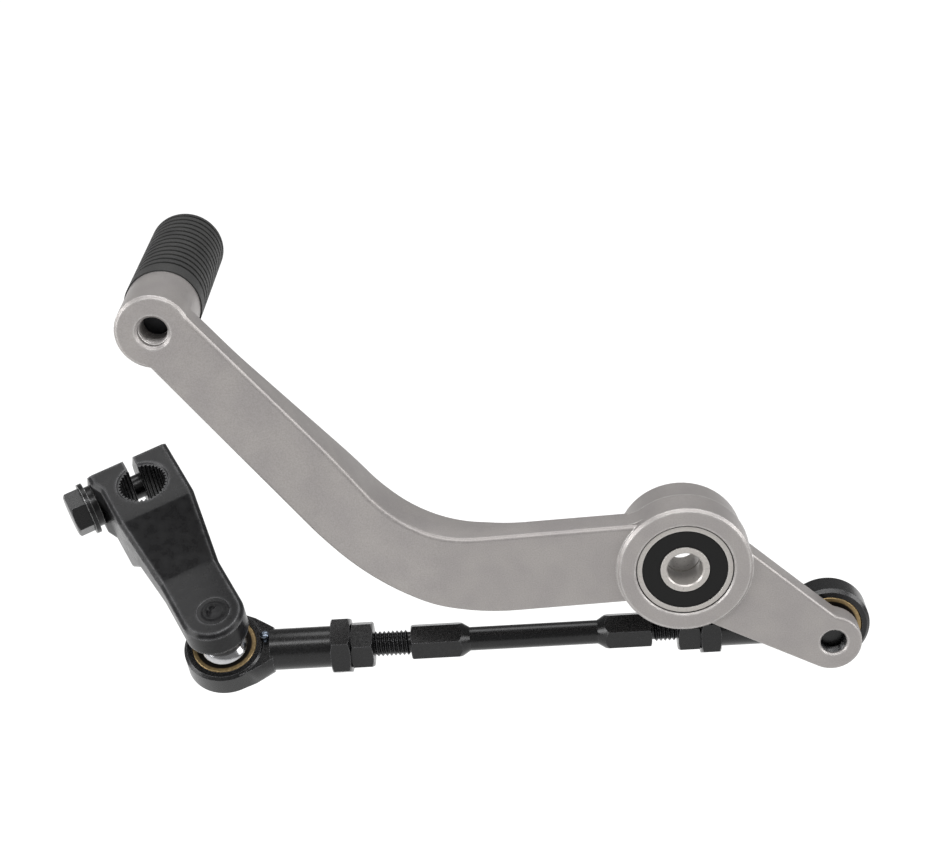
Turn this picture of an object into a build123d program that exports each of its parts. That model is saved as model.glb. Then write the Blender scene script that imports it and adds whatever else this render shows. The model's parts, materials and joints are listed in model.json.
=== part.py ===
from build123d import *
from math import acos, asin, atan2, cos, degrees, pi, radians, sin, sqrt
import os

# Motorcycle gear shift lever, millimetres.
# Origin on the pivot axis where the two hub bearings meet.
# +X towards the tail eye, +Y along the pivot towards the toe peg, +Z up.

# Clearances
running_gap = 0.03
seal_gap = 0.08
thread_gap = 0.05
ball_bore_gap = 0.05
seat_gap = 0.02

# Pivot bearings, 8 x 22 x 7
bearing_bore = 8.0
bearing_outside = 22.0
bearing_width = 7.0
outer_rim_wall = 1.35
outer_land_wall = 2.1
inner_ring_wall = 1.5
seal_recess = 0.25
seal_thickness = 0.5
ball_diameter = 3.97
ball_count = 7
raceway_radius = 2.06
cage_width = 4.8
cage_wall = 0.7
cage_pocket_gap = 0.08
ring_edge = 0.3

# Hub
hub_radius = 15.2
hub_rear_radius = 14.9
hub_rear_draft = 4.0
hub_front_length = 7.9
hub_edge = 0.6
bearing_recess = 0.5
bearing_lip = 2.0
lip_wall = 1.5

# Arm plate
plate_thickness = 7.6
face_behind_hub = 1.2
edge_radius = 1.1
arm_thickness_at_peg = 6.4
peg_end_offset = 5.0
offset_start = -56.0
offset_end = -80.0
offset_bend_radius = 30.0
rear_slope_start = -39.0
rear_ridge = -72.0
rear_ridge_set_back = 9.3
rear_slope_end = -100.0
rear_bend_radius = 26.0

# Arm outline in the XZ plane
peg_reach = 116.6
peg_rise = 54.2
bend_top_x = -61.2
bend_top_z = 5.7
bend_bottom_x = -65.6
bend_bottom_z = -14.0
bend_upper_radius = 30.0
bend_lower_radius = 55.0
arm_top_at_hub = 11.5
arm_bottom_at_hub = 7.5
arm_bottom_at_peg = 6.3

# Tail eye
tail_x = 34.7
tail_z = -18.9
eye_radius = 6.8
eye_offset_x = -0.25
eye_offset_z = -0.35
tail_top_at_hub = 12.2
tail_top_at_eye = 5.6
tail_bottom_at_hub = 10.4
tail_kink_radius = 4.0
tail_thickness = 5.95
tail_seat_height = 0.35
tail_edge_radius = 0.9

# Toe peg
peg_boss_radius = 8.4
peg_boss_length = 16.0
peg_hole_edge = 0.6
peg_pin_radius = 5.0
peg_thread_radius = 3.4
peg_thread_end_depth = 8.0
peg_flange_radius = 7.2
peg_flange_thickness = 2.5
rubber_radius = 8.75
rubber_length = 41.0
rubber_front_rib = 4.6
rubber_rib_count = 13
rubber_rib_width = 1.75
rubber_groove_depth = 0.75
rubber_end_wall = 1.2
rubber_bore_gap = 0.0

# Ball joints, M6 rod ends
bolt_radius = 3.0
joint_ball_diameter = 12.7
joint_ball_width = 9.0
race_outside = 15.2
housing_width = 6.75
housing_radius = 9.5
housing_edge = 0.7
rod_end_length = 29.6
shank_radius = 4.8
shank_start = 11.4
neck_shoulder = 0.4
collar_length = 4.6
collar_across_flats = 12.2
collar_edge = 0.5
rod_end_thread_start = 11.5
grease_hole_radius = 1.1
grease_offset = 1.2

# Link rod and lock nuts
thread_root_radius = 2.45
rod_thread_engaged = 11.5
lock_nut_across_flats = 10.0
lock_nut_thickness = 5.2
nut_edge = 0.45
front_thread_showing = 8.8
rear_thread_showing = 6.0
rod_hex_across_flats = 7.6
rod_front_hex_length = 13.7
rod_rear_hex_length = 12.5
rod_waist_length = 29.7
rod_waist_radius = 2.75
rod_hex_taper = 2.6
hex_lean = 24.0
hex_corner_cut = 0.35

# Bolt heads
bolt_head_across_flats = 10.0
bolt_head_height = 4.0
bolt_head_edge = 0.45
bolt_end_depth = 3.2

# How the front ball joint stands in the photographed pose
front_ball_z = -28.2
front_twist = 62.0
arm_axis_elevation = 67.3
arm_axis_lean = 2.7
arm_turn = 26.6

# Shift arm, forged steel
arm_centres = 42.1
clamp_bore_radius = 6.0
clamp_thickness = 18.0
clamp_left = 11.05
clamp_right = 9.7
clamp_waist = 9.8
lug_root = 6.4
waist_top = 3.4
lug_face_top = 9.0
clamp_lug_round = 5.6
clamp_bolt_offset = 9.2
clamp_bolt_depth = 10.3
clamp_slot_width = 2.6
clamp_slot_offset = -0.4
clamp_bore_edge = 0.5
clamp_foot = 10.5
arm_drop = 5.0
slope_start = 8.6
slope_end = 28.3
slope_top_band = 1.1
slope_foot_band = 0.6
slope_thickness = 7.4
forging_thickness = 6.5
neck_total = 11.1
neck_top_radius = 6.5
neck_foot_radius = 4.75
arm_eye_radius = 7.4
arm_eye_offset = -0.4
arm_corner = 1.0
lug_corner = 1.2
stake_depth = 0.8
clamp_bolt_length = 18.0
washer_outside = 6.5
washer_thickness = 1.2
spring_washer_outside = 5.2
spring_washer_thickness = 1.6
spring_washer_split = 1.0

pitch_radius = (bearing_bore + bearing_outside) / 4
hub_front = -bearing_width - bearing_recess
hub_rear = bearing_width + bearing_lip
plate_front = hub_front + face_behind_hub
plate_rear = plate_front + plate_thickness
ridge_rear = plate_front + plate_thickness + rear_ridge_set_back
peg_front = plate_front + peg_end_offset
peg_rear = peg_front + arm_thickness_at_peg
peg_boss_end = peg_front + peg_boss_length
tail_rear = plate_front + tail_thickness
tail_seat = tail_rear + tail_seat_height
ball_centre_y = tail_seat + joint_ball_width / 2
ball_face_radius = sqrt(joint_ball_diameter**2 - joint_ball_width**2) / 2

grease_place = Vector((race_outside / 2 + shank_start) / 2, grease_offset, housing_width / 2)
grease_plug_radius = grease_hole_radius - seat_gap
peg_axis = Vector(-peg_reach, peg_rise)
eye_centre = Vector(tail_x + eye_offset_x, tail_z + eye_offset_z)
rear_ball_centre = Vector(tail_x, ball_centre_y, tail_z)

# The link's length follows from its own pieces.
link_length = (
    2 * rod_end_length
    + 2 * lock_nut_thickness
    + front_thread_showing
    + rear_thread_showing
    + rod_front_hex_length
    + rod_rear_hex_length
    + rod_waist_length
)
link_drop = front_ball_z - tail_z
link_run = sqrt(link_length**2 - link_drop**2)
link_direction = Vector(-link_run, 0, link_drop) / link_length
front_ball_centre = rear_ball_centre + link_direction * link_length


def about_y(profile):
    # A turned piece: the profile holds radius and place along Y.
    face = make_face(Polyline(*[(radius, y, 0) for radius, y in profile], close=True))
    return revolve(face, Axis.Y, 360)


def rod_y(radius, y_low, y_high, x=0, z=0):
    base = Plane((x, y_low, z), x_dir=(1, 0, 0), z_dir=(0, 1, 0))
    return extrude(base * Circle(radius), y_high - y_low)


def rod_z(radius, low, high):
    return Pos(0, 0, low) * extrude(Circle(radius), high - low)


def rod_x(radius, low, high):
    base = Plane((low, 0, 0), x_dir=(0, 1, 0), z_dir=(1, 0, 0))
    return extrude(base * Circle(radius), high - low)


def hex_bar(across_flats, low, high, edge_low, edge_high):
    # A hexagon along Z with its corners turned off at the ends.
    corner = across_flats / sqrt(3)
    bar = Pos(0, 0, low) * extrude(RegularPolygon(corner, 6), high - low)
    profile = [
        (0, low),
        (corner - edge_low * 1.7, low),
        (corner, low + edge_low),
        (corner, high - edge_high),
        (corner - edge_high * 1.7, high),
        (0, high),
    ]
    points = [(x, 0, z) for x, z in dict.fromkeys(profile)]
    turned = make_face(Polyline(*points, close=True))
    return bar & revolve(turned, Axis.Z, 360)


def touch_point(outside, centre, radius, side):
    # Where the line from an outside point touches a circle, on the given side.
    to_centre = centre - outside
    distance = to_centre.length
    turn = asin(radius / distance) * side
    heading = atan2(to_centre.Y, to_centre.X) + turn
    reach = sqrt(distance**2 - radius**2)
    return Vector(outside.X + reach * cos(heading), outside.Y + reach * sin(heading))


def arm_outline():
    above = Vector(bend_top_x, bend_top_z)
    below = Vector(bend_bottom_x, bend_bottom_z)
    hub = Vector(0, 0)
    corners = [
        touch_point(above, peg_axis, peg_boss_radius - edge_radius / 3, -1),
        above,
        touch_point(above, hub, arm_top_at_hub, 1),
        touch_point(below, hub, arm_bottom_at_hub, -1),
        below,
        touch_point(below, peg_axis, arm_bottom_at_peg, 1),
    ]
    face = make_face(Polyline(*[(p.X, p.Y) for p in corners], close=True))
    for corner, radius in ((above, bend_upper_radius), (below, bend_lower_radius)):
        face = fillet(face.vertices().sort_by_distance((corner.X, corner.Y))[0], radius)
    return face


def arm_side_view():
    # The plate seen from above: it thickens into a ridge behind the bend
    # and steps towards the peg side past it.
    near, far = hub_radius, -peg_reach - peg_boss_radius
    front = [(near, plate_front), (offset_start, plate_front), (offset_end, peg_front), (far, peg_front)]
    rear = [
        (far, peg_rear),
        (rear_slope_end, peg_rear),
        (rear_ridge, ridge_rear),
        (rear_slope_start, plate_rear),
        (near, plate_rear),
    ]
    face = make_face(Polyline(*front, *rear, close=True))
    bends = [(spot, offset_bend_radius) for spot in front[1:-1]]
    bends += [(spot, rear_bend_radius) for spot in rear[1:-1]]
    for spot, radius in bends:
        face = fillet(face.vertices().sort_by_distance(spot)[0], radius)
    return face


def front_arm():
    width = 2 * hub_radius
    outline = Plane.XZ * arm_outline()
    through = extrude(outline, 2 * hub_radius, both=True)
    layer = extrude(Pos(0, 0, -2 * peg_reach) * arm_side_view(), 4 * peg_reach, dir=(0, 0, 1))
    arm = through & layer
    limit = -hub_radius
    edges = [
        edge
        for edge in arm.edges()
        if edge.center().X < limit and edge.length > width / 20 and not is_across(edge)
    ]
    return fillet(edges, edge_radius)


def is_across(edge):
    # True for an edge that runs through the plate from front to rear.
    ends = edge.position_at(1) - edge.position_at(0)
    return abs(ends.Y) > 0.8 * ends.length


def tail_arm():
    hub = Vector(0, 0)
    top = touch_between(hub, tail_top_at_hub, eye_centre, tail_top_at_eye, 1)
    bottom = touch_between(hub, tail_bottom_at_hub, eye_centre, eye_radius, -1)
    corners = [top[0], top[1], eye_centre, bottom[1], bottom[0]]
    outline = make_face(Polyline(*[(p.X, p.Y) for p in corners], close=True))
    outline += Pos(eye_centre.X, eye_centre.Y) * Circle(eye_radius)
    kink = outline.vertices().sort_by_distance((top[1].X, top[1].Y))[0]
    outline = fillet(kink, tail_kink_radius)
    base = Plane((0, plate_front, 0), x_dir=(1, 0, 0), z_dir=(0, -1, 0))
    plate = extrude(base * outline, tail_thickness, dir=(0, 1, 0))
    clear_of_hub = hub_radius * 0.9
    edges = [
        edge
        for edge in plate.edges()
        if edge.center().X > clear_of_hub and not is_across(edge)
    ]
    seat_radius = eye_radius - edge_radius
    seat = rod_y(seat_radius, tail_rear, tail_seat, tail_x, tail_z)
    return fillet(edges, tail_edge_radius) + seat


def touch_between(first, first_radius, second, second_radius, side):
    # The straight line that touches two circles on the same side.
    across = second - first
    distance = across.length
    turn = acos((first_radius - second_radius) / distance)
    heading = atan2(across.Y, across.X) + side * turn
    normal = Vector(cos(heading), sin(heading))
    return first + normal * first_radius, second + normal * second_radius


def hub_body():
    parting = hub_front + hub_front_length
    taper = (hub_rear - parting) * sin(radians(hub_rear_draft))
    return about_y(
        [
            (0, hub_front),
            (hub_radius - hub_edge, hub_front),
            (hub_radius, hub_front + hub_edge),
            (hub_radius, parting),
            (hub_rear_radius, parting),
            (hub_rear_radius - taper, hub_rear - hub_edge),
            (hub_rear_radius - taper - hub_edge, hub_rear),
            (0, hub_rear),
        ]
    )


def peg_boss():
    boss = about_y(
        [
            (0, peg_front),
            (peg_boss_radius - hub_edge, peg_front),
            (peg_boss_radius, peg_front + hub_edge),
            (peg_boss_radius, peg_boss_end),
            (0, peg_boss_end),
        ]
    )
    return Pos(-peg_reach, 0, peg_rise) * boss


def lever_casting():
    lever = hub_body() + front_arm() + tail_arm() + peg_boss()
    bore = about_y(
        [
            (0, hub_front),
            (bearing_outside / 2 + ring_edge, hub_front),
            (bearing_outside / 2, hub_front + ring_edge),
            (bearing_outside / 2, bearing_width),
            (bearing_outside / 2 - lip_wall, bearing_width),
            (bearing_outside / 2 - lip_wall, hub_rear),
            (0, hub_rear),
        ]
    )
    peg_hole = about_y(
        [
            (0, peg_front),
            (peg_thread_radius + peg_hole_edge, peg_front),
            (peg_thread_radius, peg_front + peg_hole_edge),
            (peg_thread_radius, peg_boss_end),
            (0, peg_boss_end),
        ]
    )
    eye_hole = about_y(
        [
            (0, plate_front),
            (bolt_radius + hex_corner_cut, plate_front),
            (bolt_radius, plate_front + hex_corner_cut),
            (bolt_radius, tail_seat),
            (0, tail_seat),
        ]
    )
    lever -= bore
    lever -= Pos(-peg_reach, 0, peg_rise) * peg_hole
    lever -= Pos(tail_x, 0, tail_z) * eye_hole
    return lever


def peg_pin():
    rubber_end = peg_boss_end + rubber_length
    flange_face = rubber_end - rubber_end_wall
    pin = about_y(
        [
            (0, peg_front + peg_thread_end_depth),
            (peg_thread_radius, peg_front + peg_thread_end_depth),
            (peg_thread_radius, peg_boss_end),
            (peg_pin_radius, peg_boss_end),
            (peg_pin_radius, flange_face - peg_flange_thickness),
            (peg_flange_radius, flange_face - peg_flange_thickness),
            (peg_flange_radius, flange_face),
            (0, flange_face),
        ]
    )
    return Pos(-peg_reach, 0, peg_rise) * pin


def toe_rubber():
    rubber_end = peg_boss_end + rubber_length
    flange_face = rubber_end - rubber_end_wall
    groove_radius = rubber_radius - rubber_groove_depth
    ribbed = rubber_length - rubber_front_rib
    pitch = ribbed / rubber_rib_count
    groove_width = pitch - rubber_rib_width
    profile = [(peg_pin_radius + rubber_bore_gap, peg_boss_end), (rubber_radius, peg_boss_end)]
    for rib in range(rubber_rib_count):
        start = peg_boss_end + rubber_front_rib + rib * pitch
        profile += [
            (rubber_radius, start),
            (groove_radius, start),
            (groove_radius, start + groove_width),
            (rubber_radius, start + groove_width),
        ]
    profile += [
        (rubber_radius, rubber_end - hub_edge),
        (rubber_radius - hub_edge, rubber_end),
        (peg_pin_radius, rubber_end),
        (peg_pin_radius, flange_face),
        (peg_flange_radius, flange_face),
        (peg_flange_radius, flange_face - peg_flange_thickness),
        (peg_pin_radius + rubber_bore_gap, flange_face - peg_flange_thickness),
    ]
    return Pos(-peg_reach, 0, peg_rise) * about_y(profile)


def raceway():
    circle = Circle(raceway_radius)
    return revolve(Pos(pitch_radius, bearing_width / 2) * circle, Axis.Y, 360)


def outer_ring():
    # The seals seat in a step at each side of the ball groove's two lands.
    outer = bearing_outside / 2
    rim, land = outer - outer_rim_wall, outer - outer_land_wall
    step = seal_recess + seal_thickness
    ring = about_y(
        [
            (rim, 0),
            (outer - ring_edge, 0),
            (outer, ring_edge),
            (outer, bearing_width - ring_edge),
            (outer - ring_edge, bearing_width),
            (rim, bearing_width),
            (rim, bearing_width - step),
            (land, bearing_width - step),
            (land, step),
            (rim, step),
        ]
    )
    return ring - raceway()


def inner_ring():
    inner = bearing_bore / 2
    outer = inner + inner_ring_wall
    ring = about_y(
        [
            (inner + ring_edge, 0),
            (outer, 0),
            (outer, bearing_width),
            (inner + ring_edge, bearing_width),
            (inner, bearing_width - ring_edge),
            (inner, ring_edge),
        ]
    )
    return ring - raceway()


def seals():
    # Two pressed rubber shields, one at each side of the bearing.
    low = bearing_bore / 2 + inner_ring_wall + seal_gap
    high = bearing_outside / 2 - outer_rim_wall
    near = about_y(
        [
            (low, seal_recess),
            (high, seal_recess),
            (high, seal_recess + seal_thickness),
            (low, seal_recess + seal_thickness),
        ]
    )
    far = Pos(0, bearing_width - 2 * seal_recess - seal_thickness, 0) * near
    return Compound([near.solid(), far.solid()])


def bearing_balls():
    balls = []
    for index in range(ball_count):
        angle = 2 * pi * index / ball_count
        place = Pos(pitch_radius * cos(angle), bearing_width / 2, pitch_radius * sin(angle))
        balls.append((place * Sphere(ball_diameter / 2)).solid())
    return Compound(balls)


def bearing_cage():
    low, high = (bearing_width - cage_width) / 2, (bearing_width + cage_width) / 2
    inner, outer = pitch_radius - cage_wall, pitch_radius + cage_wall
    cage = about_y([(inner, low), (outer, low), (outer, high), (inner, high)])
    for index in range(ball_count):
        angle = 2 * pi * index / ball_count
        centre = Vector(cos(angle), 0, sin(angle)) * pitch_radius
        outward = Plane(
            centre + Vector(0, bearing_width / 2, 0), x_dir=(0, 1, 0), z_dir=centre.normalized()
        )
        pocket = extrude(outward * Circle(ball_diameter / 2 + cage_pocket_gap), cage_wall * 3, both=True)
        cage -= pocket
    return cage


def spindle_bolt(grip, end_depth):
    # A hexagon bolt along Z: its head bears on Z = 0 and its shank runs down.
    head = hex_bar(bolt_head_across_flats, 0, bolt_head_height, 0, bolt_head_edge)
    return head + rod_z(bolt_radius, -grip + end_depth, 0)


def joint_ball():
    # The drilled ball of a rod end, its bore along Z.
    half = joint_ball_width / 2
    ball = Sphere(joint_ball_diameter / 2) & Box(
        2 * joint_ball_diameter, 2 * joint_ball_diameter, joint_ball_width
    )
    return ball - rod_z(bolt_radius + ball_bore_gap, -half, half)


def joint_race():
    # The bronze liner between ball and housing.
    half = housing_width / 2
    body = rod_z(race_outside / 2, -half, half)
    body -= Sphere(joint_ball_diameter / 2 + running_gap)
    return chamfer(body.edges().filter_by(GeomType.CIRCLE).group_by(SortBy.RADIUS)[-1], ring_edge)


def rod_end():
    # A female rod end: its eye about Z at the origin, its shank along +X.
    half = housing_width / 2
    eye = chamfer(rod_z(housing_radius, -half, half).edges().filter_by(GeomType.CIRCLE), housing_edge)
    shoulder = asin((housing_radius - shank_radius) / shank_start)
    normal = Vector(sin(shoulder), cos(shoulder))
    start = normal * (housing_radius - housing_edge / 3)
    neck_end = Vector(shank_start, shank_radius + neck_shoulder)
    wedge = make_face(
        Polyline(
            (start.X, start.Y),
            (neck_end.X, neck_end.Y),
            (neck_end.X, -neck_end.Y),
            (start.X, -start.Y),
            close=True,
        )
    )
    neck = Pos(0, 0, -half + housing_edge / 2) * extrude(
        wedge, housing_width - housing_edge, dir=(0, 0, 1)
    )
    round_off = make_face(
        Polyline(
            (0, 0),
            (0, housing_radius * 1.1),
            (start.X, housing_radius),
            (shank_start, shank_radius + neck_shoulder),
            (shank_start, 0),
            close=True,
        )
    )
    neck = neck & revolve(round_off, Axis.X, 360)
    shank = rod_x(shank_radius, shank_start - housing_edge, rod_end_length)
    turn_to_x = Rotation(0, 90, 0)
    collar = turn_to_x * hex_bar(
        collar_across_flats,
        rod_end_length - collar_length,
        rod_end_length,
        collar_edge,
        collar_edge,
    )
    collar = Rotation(30, 0, 0) * collar
    body = eye + neck + shank + collar
    body -= rod_z(race_outside / 2, -half, half)
    body -= rod_x(thread_root_radius + thread_gap, rod_end_thread_start, rod_end_length)
    return body - Pos(grease_place) * rod_z(grease_hole_radius, -2 * grease_plug_radius, 0)


def grease_plug():
    # A pressed-in steel ball, flush with the face over the grease hole.
    return Pos(grease_place) * Pos(0, 0, -grease_plug_radius) * Sphere(grease_plug_radius)


def lock_nut():
    nut = hex_bar(lock_nut_across_flats, 0, lock_nut_thickness, nut_edge, nut_edge)
    nut -= rod_z(thread_root_radius + thread_gap, 0, lock_nut_thickness)
    return Rotation(0, 90, 0) * nut


def link_rod():
    # Along +X from the rear rod end's face at X = 0.
    taper_reach = rod_hex_taper
    rear_hex = rear_thread_showing + lock_nut_thickness
    waist = rear_hex + rod_rear_hex_length
    front_hex = waist + rod_waist_length
    front_face = front_hex + rod_front_hex_length
    end = front_face + front_thread_showing + lock_nut_thickness + rod_thread_engaged
    corner = rod_hex_across_flats / sqrt(3)
    bar = rod_x(thread_root_radius, -rod_thread_engaged, rear_hex + taper_reach)
    bar += rod_x(thread_root_radius, front_face - taper_reach, end)
    hexes = Rotation(0, 90, 0) * (
        hex_bar(rod_hex_across_flats, rear_hex, waist, hex_corner_cut, 0)
        + hex_bar(rod_hex_across_flats, front_hex, front_face, 0, hex_corner_cut)
    )
    lathe = make_face(
        Polyline(
            (rear_hex, 0),
            (rear_hex, corner),
            (waist - taper_reach, corner),
            (waist, rod_waist_radius),
            (front_hex, rod_waist_radius),
            (front_hex + taper_reach, corner),
            (front_face, corner),
            (front_face, 0),
            close=True,
        )
    )
    turned = revolve(lathe, Axis.X, 360)
    waist_bar = rod_x(rod_waist_radius, waist - taper_reach, front_hex + taper_reach)
    return (hexes & turned) + waist_bar + bar


def arm_face():
    # Front view of the shift arm: its ball bolt at the origin, the clamp along +Y.
    bore_y = arm_centres
    top = bore_y + clamp_bolt_offset + clamp_lug_round
    left_side = [
        (arm_eye_offset - arm_eye_radius, 0),
        (arm_eye_offset - arm_eye_radius, bore_y - slope_end),
        (-clamp_waist, bore_y - slope_start),
        (-clamp_waist, bore_y + waist_top),
        (-clamp_left, bore_y + lug_root),
        (-clamp_left, top),
    ]
    right_side = [
        (clamp_right, top),
        (clamp_right, bore_y - slope_start),
        (arm_eye_offset + arm_eye_radius, bore_y - slope_end),
        (arm_eye_offset + arm_eye_radius, 0),
    ]
    face = make_face(Polyline(*left_side, *right_side, close=True))
    for spot in left_side[3:5]:
        face = fillet(face.vertices().sort_by_distance(spot)[0], lug_corner)
    return face + Pos(arm_eye_offset, 0) * Circle(arm_eye_radius)


def arm_profile():
    # Side view of the shift arm: Y along it, Z out of its front face, 0 at the clamp's face.
    bore_y = arm_centres
    lug = Vector(bore_y + clamp_bolt_offset, -clamp_bolt_depth)
    face_top = Vector(bore_y + lug_face_top, 0)
    back_top = Vector(bore_y + lug_face_top, -clamp_thickness)
    lug_front = touch_point(face_top, lug, clamp_lug_round, 1)
    lug_back = touch_point(back_top, lug, clamp_lug_round, -1)
    foot = -arm_eye_radius - arm_corner
    slope_top, slope_foot = bore_y - slope_start, bore_y - slope_end
    back = -arm_drop - forging_thickness
    # Each band takes half of the slope's turn.
    steepness = arm_drop / (slope_end - slope_start - (slope_top_band + slope_foot_band) / 2)
    face = make_face(
        Polyline(
            (foot, -arm_drop),
            (slope_foot - slope_foot_band, -arm_drop),
            (slope_foot + slope_foot_band, -arm_drop + slope_foot_band * steepness / 2),
            (slope_top - slope_top_band, -slope_top_band * steepness / 2),
            (slope_top + slope_top_band, 0),
            (face_top.X, face_top.Y),
            (lug_front.X, lug_front.Y),
            (lug.X, lug.Y),
            (lug_back.X, lug_back.Y),
            (back_top.X, back_top.Y),
            (bore_y - clamp_foot, -clamp_thickness),
            (slope_top - slope_thickness, -arm_drop / 2 - slope_thickness),
            (slope_foot, back),
            (foot, back),
            close=True,
        )
    )
    return face + Pos(lug.X, lug.Y) * Circle(clamp_lug_round)


def shift_arm_blank():
    # The forging before machining: front view and side view, edges taken off.
    width = 2 * clamp_left
    front_view = Pos(0, 0, -2 * clamp_thickness) * extrude(
        arm_face(), 3 * clamp_thickness, dir=(0, 0, 1)
    )
    side_plane = Plane((-width, 0, 0), x_dir=(0, 1, 0), z_dir=(1, 0, 0))
    side_view = extrude(side_plane * arm_profile(), 2 * width, dir=(1, 0, 0))
    blank = front_view & side_view
    front_edges = [edge for edge in blank.edges() if is_front_edge(edge)]
    return chamfer(front_edges, arm_corner)


def is_front_edge(edge):
    # The rim of the front face, from the eye up to the clamp's lugs.
    middle = edge.position_at(0.5)
    ends = edge.position_at(1) - edge.position_at(0)
    straight = edge.geom_type == GeomType.LINE
    runs_across = straight and abs(ends.X) > arm_corner and abs(ends.Y) < arm_corner
    below_front = -arm_drop - arm_corner
    above_lugs = arm_centres + lug_face_top - arm_corner
    return middle.Z > below_front and middle.Y < above_lugs and not runs_across


def shift_arm():
    # Built about its ball bolt, then lowered so that the ball's centre is the origin.
    width = 2 * clamp_left
    bore_y = arm_centres
    neck = Pos(0, 0, -arm_drop - neck_total) * Cone(
        neck_foot_radius,
        neck_top_radius,
        neck_total - forging_thickness,
        align=(Align.CENTER, Align.CENTER, Align.MIN),
    )
    arm = shift_arm_blank() + neck
    arm -= Pos(0, bore_y, 0) * rod_z(clamp_bore_radius, -clamp_thickness, 0)
    mouth = Pos(0, bore_y, 0) * Cone(
        clamp_bore_radius,
        clamp_bore_radius + clamp_bore_edge,
        clamp_bore_edge,
        align=(Align.CENTER, Align.CENTER, Align.MAX),
    )
    arm -= mouth
    slot_height = clamp_bolt_offset + 2 * clamp_lug_round
    arm -= Pos(clamp_slot_offset, bore_y + slot_height / 2, -clamp_thickness / 2) * Box(
        clamp_slot_width, slot_height, 2 * clamp_thickness
    )
    bolt_plane = Plane(
        (-width, bore_y + clamp_bolt_offset, -clamp_bolt_depth), x_dir=(0, 1, 0), z_dir=(1, 0, 0)
    )
    arm -= extrude(bolt_plane * Circle(bolt_radius + running_gap), 2 * width)
    arm -= rod_z(bolt_radius, -arm_drop - neck_total, -arm_drop)
    stake = Pos(0, 0, -arm_drop) * Cone(
        bolt_radius,
        bolt_radius + stake_depth,
        stake_depth,
        align=(Align.CENTER, Align.CENTER, Align.MAX),
    )
    arm -= stake
    return Pos(0, 0, arm_drop + neck_total + joint_ball_width / 2) * arm


def arm_ball_bolt():
    # Its head bears on the ball's far face and its end is staked in the arm.
    bolt = spindle_bolt(joint_ball_width + neck_total, stake_depth)
    return Pos(0, 0, -joint_ball_width / 2) * (Rotation(180, 0, 0) * bolt)


def clamp_bolt_place():
    bore_z = arm_drop + neck_total + joint_ball_width / 2 - clamp_bolt_depth
    return Plane(
        (-clamp_left, arm_centres + clamp_bolt_offset, bore_z), x_dir=(0, 1, 0), z_dir=(-1, 0, 0)
    )


def flat_washer(outer, thickness):
    return extrude(Circle(outer) - Circle(bolt_radius + running_gap), thickness)


def spring_washer():
    ring = flat_washer(spring_washer_outside, spring_washer_thickness)
    gap = Pos(spring_washer_outside, 0, 0) * Box(
        2 * spring_washer_outside, spring_washer_split, 4 * spring_washer_thickness
    )
    return ring - gap


def link_place(centre, towards, bolt_axis):
    return Location(Plane(centre, x_dir=towards, z_dir=bolt_axis))


def tilted(elevation):
    # The direction at this elevation above -Y, square to the link.
    across = link_direction.cross(Vector(0, -1, 0)).normalized()
    if across.Z < 0:
        across = across * -1
    return Vector(0, -1, 0) * cos(radians(elevation)) + across * sin(radians(elevation))


def arm_place():
    upright = tilted(arm_axis_elevation)
    lean = radians(arm_axis_lean)
    sideways = (link_direction - upright * link_direction.dot(upright)).normalized()
    axis = upright * cos(lean) + sideways * sin(lean)
    right = (sideways * -1 + axis * sideways.dot(axis)).normalized()
    up = axis.cross(right)
    turn = radians(arm_turn)
    x_dir = right * cos(turn) + up * sin(turn)
    return Location(Plane(front_ball_centre, x_dir=x_dir, z_dir=axis))


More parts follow.
